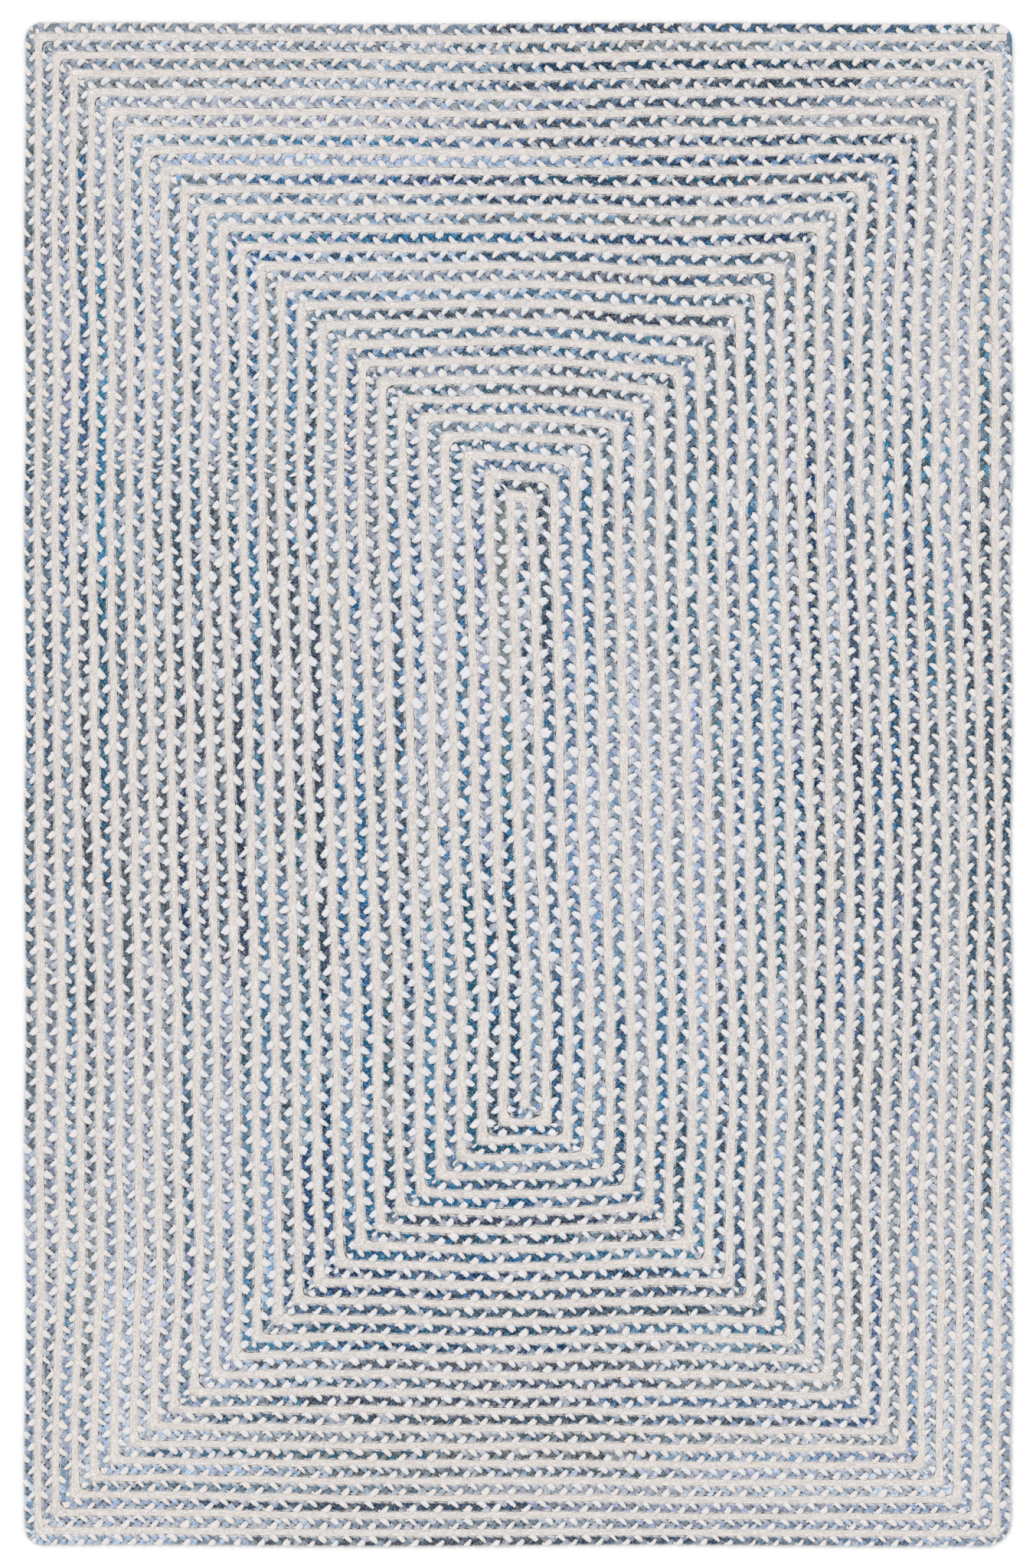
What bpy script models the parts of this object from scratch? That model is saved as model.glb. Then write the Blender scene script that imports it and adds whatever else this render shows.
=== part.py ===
"""A rectangular braided rug, 5 ft by 8 ft: a denim plait and an ivory tape, coiled side by side.

Both run clockwise from the middle outwards as one rectangular double spiral, up the left, along the
top, down the right and back along the bottom, and are sewn edge to edge. Metres, +Z up, +Y along the
rug's length. The origin is the middle of the underside.

A place across the courses is given as a turn. The tape's middle is at whole turns and the plait's is
at half turns. Turn -1/2 is the spine that both wrap round.
"""

import math
from collections import namedtuple

import bmesh
import bpy
import numpy as np

RUG_WIDTH = 1.520
RUG_LENGTH = 2.345
TAPE_SHARE = 0.40  # the tape's part of one turn's width, and the plait has the rest
PLAIT_HEIGHT = 0.0085
TAPE_HEIGHT = 0.0070
SEAM_GAP = 0.0004  # between neighbouring courses, where they are sewn together

# The spine leans: its foot lies further right than its head.
SPINE_HEAD_X = 0.0041
SPINE_FOOT_X = 0.0271
SPINE_HEAD_Y = 0.4258
SPINE_FOOT_Y = -0.5060

TAPE_EDGE = TAPE_SHARE / 2  # from the tape's middle to its edge, in turns
PLAIT_EDGE = (1 - TAPE_SHARE) / 2  # and from the plait's
LEFT_TURNS = 24.5 + PLAIT_EDGE  # from the middle to the outline, on the left and at the top
RIGHT_TURNS = 23.5 + PLAIT_EDGE  # and on the right and at the bottom
LAST_BEND = 97  # the last top left corner, before the run that ends both braids

SEAM_RADIUS = 0.005  # at the corners of the seams between courses
OUTLINE_RADIUS = {"bottom_right": 0.041, "bottom_left": 0.028, "top_left": 0.026, "top_right": 0.024}
PLAIT_TAIL = 0.008  # width of the plait's end, which wraps the tape's end at the last corner

WAVE_HEIGHT = 0.0013  # how far the courses stray from straight
WAVE_LENGTH_X = 0.83
WAVE_LENGTH_Y = 0.47

# Where each side's courses lie. crowding is how much wider than the mean the inner courses are.
Reach = namedtuple("Reach", "spine outline turns crowding")
REACHES = {
    "left_at_top": Reach(SPINE_HEAD_X, -RUG_WIDTH / 2, LEFT_TURNS, 0.107),
    "left_at_bottom": Reach(SPINE_FOOT_X, -RUG_WIDTH / 2, LEFT_TURNS, 0.045),
    "right_at_top": Reach(SPINE_HEAD_X, RUG_WIDTH / 2, RIGHT_TURNS, 0.075),
    "right_at_bottom": Reach(SPINE_FOOT_X, RUG_WIDTH / 2, RIGHT_TURNS, 0.095),
    "top": Reach(SPINE_HEAD_Y, RUG_LENGTH / 2, LEFT_TURNS, 0.030),
    "bottom": Reach(SPINE_FOOT_Y, -RUG_LENGTH / 2, RIGHT_TURNS, 0.050),
}

# A turn's bends in order, and the places along the run after each, as parts of its length.
Bend = namedtuple("Bend", "corner run_points")
BENDS = (
    Bend("bottom_left", (1 / 3, 2 / 3)),
    Bend("top_left", (1 / 2,)),
    Bend("top_right", (1 / 3, 2 / 3)),
    Bend("bottom_right", (1 / 2,)),
)
SEAM_ARC = (0.0, 0.5, 1.0)
OUTLINE_ARC = (0.0, 0.25, 0.5, 0.75, 1.0)

# A course's section, anticlockwise: how far across it, and how high as a part of its height.
SectionPoint = namedtuple("SectionPoint", "across height")
SECTION = (
    SectionPoint(0.00, 0.00),
    SectionPoint(1.00, 0.00),
    SectionPoint(1.00, 0.62),
    SectionPoint(0.78, 1.00),
    SectionPoint(0.22, 1.00),
    SectionPoint(0.00, 0.62),
)


def out_from_spine(reach_name, turn):
    """How far out a turn lies on one side, at a pitch that eases from the inner courses' to the outer's."""
    reach = REACHES[reach_name]
    part = (turn + 0.5) / (reach.turns + 0.5)
    return reach.spine + (reach.outline - reach.spine) * part * (1 + reach.crowding * (1 - part))


def column_x(side, end, turn):
    """A column's X at its top or bottom end. Inside the spine, it is a column of the other side."""
    if turn < -0.5:
        turn = -1 - turn
        side = "right" if side == "left" else "left"
    return out_from_spine(f"{side}_at_{end}", turn)


def corner(name, turn):
    """Where the line of a turn bends. One turn's bottom run leads into the next turn's left run."""
    end, side = name.split("_")
    y = out_from_spine(end, turn - 1 if name == "bottom_left" else turn)
    return np.array([column_x(side, end, turn), y])


def bend_corner(number, first_turn, edge):
    """The corner of a line's bend, counted from the bottom left of its first turn."""
    return corner(BENDS[number % len(BENDS)].corner, first_turn + number // len(BENDS) + edge)


def arc(before, bend, after, radius, parts):
    """A quarter round at a bend: back along the line in by 1 - sin, on along the line out by 1 - cos."""
    line_in = (bend - before) / np.linalg.norm(bend - before)
    line_out = (after - bend) / np.linalg.norm(after - bend)
    return [
        bend
        - radius * (1 - math.sin(part * math.pi / 2)) * line_in
        + radius * (1 - math.cos(part * math.pi / 2)) * line_out
        for part in parts
    ]


def run_points(number, start, end):
    """Places along the run after a bend, so that the courses can waver between their corners."""
    return [start + part * (end - start) for part in BENDS[number % len(BENDS)].run_points]


def tape_line(edge):
    """One edge of the tape: its rounded start, inside the plait's first turn, to its rounded end."""
    foot = out_from_spine("bottom", -0.5 - PLAIT_EDGE)
    head = RUG_WIDTH / 2 - PLAIT_TAIL
    start, other_start = (np.array([column_x("left", "bottom", e), foot]) for e in (edge, -edge))
    end, other_end = (
        np.array([head, out_from_spine("top", LAST_BEND // len(BENDS) + e)]) for e in (edge, -edge)
    )
    bends = [start] + [bend_corner(n, 0, edge) for n in range(1, LAST_BEND + 1)] + [end]
    points = arc(other_start, start, bends[1], SEAM_RADIUS, SEAM_ARC)
    for number in range(1, LAST_BEND + 1):
        points += run_points(number - 1, bends[number - 1], bends[number])
        points += arc(bends[number - 1], bends[number], bends[number + 1], SEAM_RADIUS, SEAM_ARC)
    points += run_points(LAST_BEND, bends[-2], end)
    return np.array(points + arc(bends[-2], end, other_end, SEAM_RADIUS, SEAM_ARC))


def plait_line(edge):
    """One edge of the plait: its rounded start, inside the tape's first turn, to its folded tail."""
    first = -1
    head = out_from_spine("top", -TAPE_EDGE)
    start, other_start = (np.array([column_x("right", "top", -0.5 + e), head]) for e in (edge, -edge))
    tail_x = RUG_WIDTH / 2 if edge > 0 else RUG_WIDTH / 2 - PLAIT_TAIL
    tail_corner = np.array([tail_x, out_from_spine("top", LEFT_TURNS - PLAIT_EDGE + edge)])
    tail_end = np.array([tail_x, out_from_spine("top", RIGHT_TURNS) + SEAM_GAP / 2])
    bends = [bend_corner(n, 0.5, edge) for n in range(first, LAST_BEND + 1)] + [tail_corner, tail_end]
    points = arc(other_start, start, bends[0], SEAM_RADIUS, SEAM_ARC)
    before = start
    for number, (bend, after) in enumerate(zip(bends, bends[1:]), first):
        outer = number > LAST_BEND - len(BENDS) + 1
        name = BENDS[number % len(BENDS)].corner
        radius = OUTLINE_RADIUS[name] if outer and edge > 0 else SEAM_RADIUS
        points += run_points(number - 1, before, bend)
        points += arc(before, bend, after, radius, OUTLINE_ARC if outer else SEAM_ARC)
        before = bend
    return np.array(points + [tail_end])


def wavered(points):
    """The courses' slow waver, which is the same for all that pass one place: a sine of Y and one of X."""
    x, y = points.T
    stray = np.column_stack(
        [np.sin(2 * math.pi * y / WAVE_LENGTH_Y), np.sin(2 * math.pi * x / WAVE_LENGTH_X)]
    )
    return points + WAVE_HEIGHT * stray


def outline_middle():
    """The middle of the plait's box, which becomes the origin."""
    points = wavered(plait_line(PLAIT_EDGE))
    return (points.min(0) + points.max(0)) / 2


def laid_course(name, inner, outer, height, color):
    """A loft of the course's section, from ring to ring between its two edges, closed by its two ends."""
    inner, outer = wavered(inner), wavered(outer)
    widthwise = outer - inner
    widthwise /= np.linalg.norm(widthwise, axis=1, keepdims=True)
    inner = inner + widthwise * SEAM_GAP / 2 - outline_middle()
    outer = outer - widthwise * SEAM_GAP / 2 - outline_middle()
    bm = bmesh.new()
    rings = []
    for a, b in zip(inner, outer):
        places = [(*(a + (b - a) * point.across), height * point.height) for point in SECTION]
        rings.append([bm.verts.new(place) for place in places])
    for ring, following in zip(rings, rings[1:]):
        for side in range(len(SECTION)):
            bm.faces.new((ring[side - 1], ring[side], following[side], following[side - 1]))
    bm.faces.new(rings[0])
    bm.faces.new(rings[-1])
    bmesh.ops.recalc_face_normals(bm, faces=bm.faces)
    mesh = bpy.data.meshes.new(name)
    bm.to_mesh(mesh)
    bm.free()
    mesh.materials.append(cloth(name, color))
    mesh.shade_smooth()
    mesh.set_sharp_from_angle(angle=math.radians(35))
    return bpy.data.objects.new(name, mesh)


def cloth(name, color):
    material = bpy.data.materials.new(name)
    material.use_nodes = True
    shader = material.node_tree.nodes["Principled BSDF"]
    shader.inputs["Base Color"].default_value = (*color, 1)
    shader.inputs["Roughness"].default_value = 0.92
    return material


def denim_plait():
    """Three strands plaited flat, two of old denim and one of white cotton, as one crowned course."""
    inner, outer = plait_line(-PLAIT_EDGE), plait_line(PLAIT_EDGE)
    return laid_course("denim_plait", inner, outer, PLAIT_HEIGHT, (0.357, 0.402, 0.451))


def ivory_tape():
    """A cotton tape, lower and narrower than the plait that it is sewn to."""
    inner, outer = tape_line(-TAPE_EDGE), tape_line(TAPE_EDGE)
    return laid_course("ivory_tape", inner, outer, TAPE_HEIGHT, (0.753, 0.701, 0.671))


def main():
    for thing in list(bpy.data.objects):
        bpy.data.objects.remove(thing)
    rug = bpy.data.collections.new("braided_rug")
    bpy.context.scene.collection.children.link(rug)
    rug.objects.link(denim_plait())
    rug.objects.link(ivory_tape())


main()
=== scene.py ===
"""The looks of a rectangular braided rug: a plait of worn denim and white cotton, and an ivory tape.

Metres, +Z up, +Y along the rug's length, with the origin in the middle of its underside, as in the CAD.
The sections follow the rug as it is made: the plait's strands, its folded end, the tape that is sewn
beside it, and the floor that it lies on.
"""

import math
from collections import namedtuple

import bpy
import numpy as np
from numpy.random import default_rng
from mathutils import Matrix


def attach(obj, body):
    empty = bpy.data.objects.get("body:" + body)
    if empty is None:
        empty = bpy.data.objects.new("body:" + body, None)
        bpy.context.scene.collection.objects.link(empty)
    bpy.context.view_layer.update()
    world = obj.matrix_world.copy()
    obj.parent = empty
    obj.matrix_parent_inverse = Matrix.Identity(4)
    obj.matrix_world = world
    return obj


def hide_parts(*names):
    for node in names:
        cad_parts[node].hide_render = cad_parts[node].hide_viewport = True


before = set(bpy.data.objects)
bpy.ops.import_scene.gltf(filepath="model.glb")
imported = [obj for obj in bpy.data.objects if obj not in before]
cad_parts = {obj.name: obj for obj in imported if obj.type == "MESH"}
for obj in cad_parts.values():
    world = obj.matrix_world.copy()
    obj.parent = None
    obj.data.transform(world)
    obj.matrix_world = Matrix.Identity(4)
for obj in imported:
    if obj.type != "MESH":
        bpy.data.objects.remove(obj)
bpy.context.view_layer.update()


# ------------------------------ the view from above
# The rug is photographed flat from straight above, its length up the picture, through a long lens.
# The picture is 2048 pixels high and shows 2.414 m, so the rug nearly fills it.

VIEW_HEIGHT = 2.414  # what the picture's height takes in, at the rug's upper face
UPPER_FACE = 0.007
VIEW_X = -0.0002  # where on the rug the picture's middle lies
VIEW_Y = 0.0006
LENS = 85.0  # millimetres
SENSOR = 36.0  # millimetres, along the picture's height


def put(name, data):
    """An object made of a mesh, a light or a camera, and put in the scene."""
    made = bpy.data.objects.new(name, data)
    bpy.context.scene.collection.objects.link(made)
    return made


eye = bpy.data.cameras.new("view_from_above")
eye.lens = LENS
eye.sensor_width = SENSOR
eye.clip_end = 60
eye_stand = put("view_from_above", eye)
eye_stand.location = (VIEW_X, VIEW_Y, VIEW_HEIGHT * LENS / SENSOR + UPPER_FACE)
bpy.context.scene.camera = eye_stand


# ------------------------------ the white strand
# The plait has three strands, each crossing over the middle one in turn. This one is white cotton, torn
# in strips and folded lengthwise. The plait is about 18 mm wide, and is sewn edge to edge to the tape
# that is coiled beside it.

# The coil: plait and tape run side by side, clockwise from the middle outwards, as one rectangular
# double spiral. A place across the courses is a turn: the tape's middle lies at whole turns, the plait's
# at half turns, and turn -1/2 is the spine that both wrap round.
RUG_WIDTH = 1.520
RUG_LENGTH = 2.345
TAPE_EDGE = 0.2  # from the tape's middle to its edge, in turns
PLAIT_EDGE = 0.3  # and from the plait's
SPINE_HEAD_X = 0.0041
SPINE_FOOT_X = 0.0271
SPINE_HEAD_Y = 0.4258
SPINE_FOOT_Y = -0.5060
LEFT_TURNS = 24.8  # from the middle to the outline, on the left and at the top
RIGHT_TURNS = 23.8  # and on the right and at the bottom
LAST_BEND = 97  # the last top left corner, counted from the first turn's bottom left
WAVE_HEIGHT = 0.0013  # how far the courses stray from straight
WAVE_LENGTH_X = 0.83
WAVE_LENGTH_Y = 0.47
RIPPLE_HEIGHT = 0.0008  # and how far they are pulled about by hand in sewing
RIPPLE_LENGTH = 0.16
RIPPLE_FADE = 0.10  # in from the outline, which is straighter than what lies inside it
STRAY_FADE = 0.06
LEAN = 0.15  # the slope to which the innermost bars at the top lean, down to the right
LEAN_FROM = 0.30  # it grows from the rug's middle to this Y
LEAN_PAST_HEAD = 0.02  # is full up to here, past the spine's head
LEAN_FADE = 0.058  # fades beyond
LEAN_HALF = 0.20  # and goes on this far to the left and the right of the spine
SAMPLE = 0.002  # spacing of the places at which a course's two edges are kept
EASE_SAMPLES = 6  # how many places on both sides have a say in where an eased one lies
CORNER_EASE = 0.0028  # how far a corner is eased along the course

Reach = namedtuple("Reach", "spine outline turns crowding")
REACHES = {
    "left_at_top": Reach(SPINE_HEAD_X, -RUG_WIDTH / 2, LEFT_TURNS, 0.107),
    "left_at_bottom": Reach(SPINE_FOOT_X, -RUG_WIDTH / 2, LEFT_TURNS, 0.045),
    "right_at_top": Reach(SPINE_HEAD_X, RUG_WIDTH / 2, RIGHT_TURNS, 0.075),
    "right_at_bottom": Reach(SPINE_FOOT_X, RUG_WIDTH / 2, RIGHT_TURNS, 0.095),
    "top": Reach(SPINE_HEAD_Y, RUG_LENGTH / 2, LEFT_TURNS, 0.030),
    "bottom": Reach(SPINE_FOOT_Y, -RUG_LENGTH / 2, RIGHT_TURNS, 0.050),
}
CORNERS = ("bottom_left", "top_left", "top_right", "bottom_right")  # a turn's bends, in order
# How far the long sides were pulled sideways as they were sewn, and the short ones lengthwise, in
# millimetres: a row for each place along the rug, and a column for each place across it.
STRAY_COLUMNS = (-0.55, -0.28, 0.0, 0.28, 0.55)
ROW_REACH = 0.13  # how far a row's numbers are felt along the rug
COLUMN_REACH = 0.16  # and a column's across it
Stray = namedtuple("Stray", "y far_left left middle right far_right")
SIDEWAYS = (
    Stray(0.90, -2.5, 0.1, 0.0, -0.8, 2.4),
    Stray(0.70, 0.4, -0.1, -0.4, -2.8, -9.6),
    Stray(0.50, -3.5, -8.7, 0.7, -0.8, -8.8),
    Stray(0.30, -1.9, -4.3, 3.3, -1.1, -1.5),
    Stray(0.10, -2.6, -3.8, 0.3, -0.1, 0.0),
    Stray(-0.10, 3.6, 1.7, 0.3, 4.3, 7.7),
    Stray(-0.30, 4.7, 2.1, 5.4, 2.9, 2.5),
    Stray(-0.50, 5.0, 1.9, -0.7, 5.6, -0.4),
    Stray(-0.70, 7.3, 3.8, -0.4, -6.3, -2.9),
    Stray(-0.90, -4.6, -4.9, 0.0, -2.9, -5.0),
)
LENGTHWISE = (
    Stray(1.05, 0.8, 3.4, -3.6, 1.1, 3.5),
    Stray(0.85, -3.4, -2.8, -2.4, -9.7, 3.9),
    Stray(0.65, -1.0, -2.9, 1.7, -19.0, -0.1),
    Stray(0.45, 0.0, -0.8, 3.6, -2.1, 0.0),
    Stray(-0.45, 0.0, 0.0, -1.9, 1.2, 0.0),
    Stray(-0.65, 0.4, 11.0, 4.7, 14.0, 0.4),
    Stray(-0.85, -1.4, 9.5, 1.0, 5.0, -2.7),
    Stray(-1.05, 4.2, 1.1, 1.0, -4.2, -1.2),
)
Course = namedtuple("Course", "along inner outer corners")  # metres along it, its edges, its corners


def out_from_spine(reach_name, turn):
    """How far out a turn lies: spine + (outline - spine) * part * (1 + crowding * (1 - part))."""
    reach = REACHES[reach_name]
    part = (turn + 0.5) / (reach.turns + 0.5)
    return reach.spine + (reach.outline - reach.spine) * part * (1 + reach.crowding * (1 - part))


def column_x(side, end, turn):
    """A column's X at its top or bottom end. Inside the spine, it is a column of the other side."""
    other = "right" if side == "left" else "left"
    across = out_from_spine(f"{side}_at_{end}", turn)
    return np.where(turn < -0.5, out_from_spine(f"{other}_at_{end}", -1 - turn), across)


def bends(first_turn, edge, numbers):
    """The corners of one edge of a course: bend n is corner n % 4 of turn first_turn + n // 4."""
    turn = first_turn + numbers // 4 + edge
    places = []
    for name in CORNERS:
        end, side = name.split("_")
        y = out_from_spine(end, turn - 1 if name == "bottom_left" else turn)
        places.append(np.column_stack([column_x(side, end, turn), y]))
    return np.array(places)[numbers % 4, np.arange(len(numbers))]


def unit(vectors):
    """Each vector divided by its length."""
    return vectors / np.linalg.norm(vectors, axis=-1, keepdims=True)


def rounded(edge, bend, before, after, radius):
    """An edge with one corner rounded: what lies beyond the arc's middle, on both of the corner's sides,
    is drawn in to the arc's radius."""
    to_before, to_after = unit(before - bend), unit(after - bend)
    middle = bend + radius * (to_before + to_after)
    out = edge - middle
    beyond = (out @ to_before < 0) & (out @ to_after < 0)
    return np.where(beyond[:, None], middle + radius * unit(out), edge)


def eased(edge):
    """An edge drawn through a bell curve of weights, which rounds its corners. Its ends stay."""
    reach = np.arange(-EASE_SAMPLES, EASE_SAMPLES + 1) * SAMPLE
    weights = np.exp(-0.5 * (reach / CORNER_EASE) ** 2)
    weights /= weights.sum()
    padded = np.pad(edge, ((EASE_SAMPLES, EASE_SAMPLES), (0, 0)), mode="reflect", reflect_type="odd")
    return np.column_stack([np.convolve(axis, weights, mode="valid") for axis in padded.T])


def strayed(x, y, table):
    """A table of strays at each place, in metres: the mean of its numbers, each weighted by a bell curve
    of how far its row lies along the rug and one of how far its column lies across it."""
    rows = np.array(table)
    by_row = np.exp(-(((y[:, None] - rows[:, 0]) / ROW_REACH) ** 2)) + 1e-9
    by_column = np.exp(-(((x[:, None] - np.array(STRAY_COLUMNS)) / COLUMN_REACH) ** 2)) + 1e-9
    sums = np.einsum("pr,rc,pc->p", by_row, rows[:, 1:], by_column)
    return sums / by_row.sum(1) / by_column.sum(1) / 1000


def wavered(places):
    """The courses' slow waver, a sine of Y on X and a sine of X on Y; a ripple of two sines that changes
    from course to course; the tables of strays; and the lean of the innermost bars, slope times X on Y,
    where the slope fades past the spine's head as exp(-distance / LEAN_FADE). Ripple and strays fade at
    the outline."""
    x, y = places.T
    inside = np.minimum(RUG_WIDTH / 2 - np.abs(x), RUG_LENGTH / 2 - np.abs(y))
    u, v = 2 * np.pi * places.T / RIPPLE_LENGTH
    slow = np.array([np.sin(2 * np.pi * y / WAVE_LENGTH_Y), np.sin(2 * np.pi * x / WAVE_LENGTH_X)])
    ripple = np.array([np.sin(v + 1.7 * u), np.sin(u + 1.7 * v)])
    ripple += 0.5 * np.sin([2.3 * v - 2.1 * u, 2.3 * u - 2.1 * v])
    ripple *= RIPPLE_HEIGHT * np.clip(inside / RIPPLE_FADE, 0, 1)
    stray = np.array([strayed(x, y, SIDEWAYS), strayed(x, y, LENGTHWISE)])
    stray *= np.clip(inside / STRAY_FADE, 0, 1)
    beyond = np.clip(y - SPINE_HEAD_Y - LEAN_PAST_HEAD, 0, 1)
    slope = LEAN * np.exp(-beyond / LEAN_FADE) * np.clip(y / LEAN_FROM, 0, 1)
    lean = [0 * x, -slope * np.clip(x - SPINE_HEAD_X, -LEAN_HALF, LEAN_HALF)]
    return places + (WAVE_HEIGHT * slow + ripple + stray + lean).T


def laid_course(inner_bends, outer_bends, inner_radii, outer_radii):
    """A course from the corners of its two edges and their radii. Rings lie square across each run, and
    at a corner they fan round the inner edge's corner to reach the outer one. Length is measured along
    the middle."""
    run = unit(np.diff((inner_bends + outer_bends) / 2, axis=0))
    outer_run = unit(np.diff(outer_bends, axis=0))
    slant = (outer_run * run).sum(1, keepdims=True)

    def square_across(places):
        ahead = ((places - outer_bends[:-1]) * run).sum(1, keepdims=True)
        return outer_bends[:-1] + outer_run * ahead / slant

    start, end = inner_bends[:-1], inner_bends[1:]
    inner = np.stack([start, end, end], 1).reshape(-1, 2)
    outer = np.stack([square_across(start), square_across(end), outer_bends[1:]], 1).reshape(-1, 2)
    steps = np.linalg.norm(np.diff((inner + outer) / 2, axis=0), axis=1)
    reached = np.concatenate([[0], np.cumsum(steps)])
    along = np.arange(0, reached[-1], SAMPLE)
    inner, outer = (
        np.column_stack([np.interp(along, reached, axis) for axis in edge.T]) for edge in (inner, outer)
    )
    corners = reached[2:-3:3]  # a run's three rings are its start, its end and the outer edge's corner
    for edge, places, radii in ((inner, inner_bends, inner_radii), (outer, outer_bends, outer_radii)):
        for number, (corner, radius) in enumerate(zip(corners, radii), 1):
            before, after = (corner + side * 2 * radius for side in (-1, 1))
            near = slice(max(int(before / SAMPLE), 0), int(after / SAMPLE) + 2)
            edge[near] = rounded(edge[near], *places[[number, number - 1, number + 1]], radius)
    return Course(along, wavered(eased(inner)), wavered(eased(outer)), corners)


def on_course(course, along, across):
    """Places from metres along a course and across it, where -1 is its inner edge and 1 its outer."""
    inner = np.stack([np.interp(along, course.along, axis) for axis in course.inner.T], -1)
    outer = np.stack([np.interp(along, course.along, axis) for axis in course.outer.T], -1)
    return inner + (outer - inner) * (np.asarray(across)[..., None] + 1) / 2


def near_corners(course, along, reach, last=0):
    """How near each place is to a corner of its course, or to one of its last few corners:
    exp(-(d / reach)^2) for the distance d to the nearest."""
    corners = course.corners[-last:]
    after = np.searchsorted(corners, along).clip(1, len(corners) - 1)
    nearest = np.minimum(np.abs(along - corners[after - 1]), np.abs(along - corners[after]))
    return np.exp(-((nearest / reach) ** 2))


def wander(seed, places, spacing):
    """A smooth random number from -1 to 1 for each place: seeded numbers every spacing metres, joined by
    the curve 3t^2 - 2t^3."""
    cell = places / spacing - math.floor(places.min() / spacing)
    values = default_rng(seed).uniform(-1, 1, int(cell.max()) + 2)
    number = cell.astype(int)
    t = cell - number
    return values[number] + (values[number + 1] - values[number]) * t * t * (3 - 2 * t)


# The corners of the seams are rounded by hand, each its own way: those at the tape's inner edge wider
# than those at its outer edge. They are counted by the tape's bends.
CORNER_COUNT = LAST_BEND + 5
loose = default_rng(31)
inside_radii = loose.uniform(0.010, 0.017, CORNER_COUNT)
outside_radii = loose.uniform(0.003, 0.0065, CORNER_COUNT)

# The plait.
PLAIT_HEIGHT = 0.0085
PLAIT_TAIL = 0.008  # the width of its folded end, which wraps the tape's end at the last corner
TAIL_WRAP = 0.024  # how far it goes on beyond the tape's end, outside the next turn's corner
FOLD_BEFORE_CORNER = 0.004  # where the plaiting stops, before the last corner
END_RADIUS = 0.005  # at the corners of the plait's two ends
HALF_WIDTH = 0.0091  # the plait's, as it is meant to be
MOST_ROOM = 1.35  # the widest that the strands spread, as a part of that
SEAM = 0.99  # how far out they reach, as a part of the course's own half width
REPEAT = 0.0412  # from one leaf of a strand to its next on the same side
REPEAT_SPREAD = 0.13  # how much longer or shorter the repeat gets, as a part of it
REPEAT_WANDER = 0.19  # and over how many metres
CORNER_BUNCH = 0.6  # how many more leaves there are at a corner, as a part of those elsewhere
CORNER_BUNCH_REACH = 0.011
OUTLINE_BUNCH = 0.5  # and how many more again at the outline's corners
OUTLINE_BUNCH_REACH = 0.020
CROSSING_RISE = 0.0019  # how far a strand rises and dips as it crosses the others
STRAND_RISE = 0.0022  # half a strand's thickness
LOWEST = 0.0003  # how near a strand comes to the floor
END_TUCK = 0.006  # over which the strands are drawn together at the plait's ends
TUCKED_WIDTH = 0.35  # how wide they are there, as a part of their width
TAIL_BEND = LAST_BEND + 1
OUTLINE_RADIUS = {
    TAIL_BEND - 4: 0.022,  # inside the folded end
    TAIL_BEND - 3: 0.041,
    TAIL_BEND - 2: 0.028,
    TAIL_BEND - 1: 0.026,
    TAIL_BEND: 0.024,
}

# A strand's section, anticlockwise as it comes towards the eye: a flattened band with soft edges.
SectionPoint = namedtuple("SectionPoint", "across height")
STRAND_SECTION = (
    SectionPoint(1.00, 0.15),
    SectionPoint(0.60, 1.00),
    SectionPoint(-0.60, 1.00),
    SectionPoint(-1.00, 0.15),
    SectionPoint(0.00, -1.00),
)
# How unevenly the strands are plaited: the most that a leaf, or a ring of one, departs from the others.
LEAF_ALONG = 0.0018  # metres
LEAF_ACROSS = 0.11  # in parts of the plait's half width
LEAF_HEADING = 7  # degrees, as are both rolls
LEAF_ROLL = 8
RING_ROLL = 4
LEAF_HEIGHT = 0.10  # in parts of what the leaf or the ring has
RING_RISE = 0.10
RING_WIDTH = 0.06
OVERLAP_SPREAD = 0.2
STRAND_SPREAD = 0.10  # and how the strand's width changes slowly, over so many metres
STRAND_WANDER = 0.31
DRAWN_IN = 0.05  # how far all leaves are drawn in to the middle, in parts of the plait's half width
SUNK = 0.10  # and down, in parts of CROSSING_RISE
OUTLINE_OVERLAP = 0.2  # the part of a leaf's overlap that is left at the rug's outline
CORNER_CLEAR = 0.012  # how near to a corner the leaves keep off the tape
FIRST_RINGS = 0.0004  # the least way between rings, where the plait starts
# A leaf's rings: where it comes up at the plait's middle, on top, at the edge and back underneath. along
# is in halves of a repeat, heading is degrees away from the plait's own direction, roll is degrees that
# lift the side nearer the edge, and the others are parts of the plait's half width, the strand's width
# and CROSSING_RISE. The white leaves are thorns, wide where they reach over the tape.
LeafRing = namedtuple("LeafRing", "along across heading roll width rise")
WHITE_LEAF = (
    LeafRing(0.00, -0.16, 47, 0, 0.74, 0.10),
    LeafRing(0.20, 0.46, 48, 0, 1.14, 1.10),
    LeafRing(0.43, 1.08, 46, 12, 1.36, 1.00),
    LeafRing(0.72, 0.52, -35, 0, 1.05, -0.90),
)
Strand = namedtuple("Strand", "rings lengthwise course_map leaf")  # rings by points, and metres along it


def plait_edge(edge):
    """The corners of one edge of the plait, from its start inside the tape's first turn to its tail."""
    start = [column_x("right", "top", -0.5 + edge), out_from_spine("top", -TAPE_EDGE)]
    tail_x = RUG_WIDTH / 2 if edge > 0 else RUG_WIDTH / 2 - PLAIT_TAIL
    tail = [
        [tail_x, out_from_spine("top", LEFT_TURNS - PLAIT_EDGE + edge)],
        [tail_x, out_from_spine("top", RIGHT_TURNS) - TAIL_WRAP],
    ]
    return np.vstack([start, bends(0.5, edge, np.arange(-1, TAIL_BEND)), tail])


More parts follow.
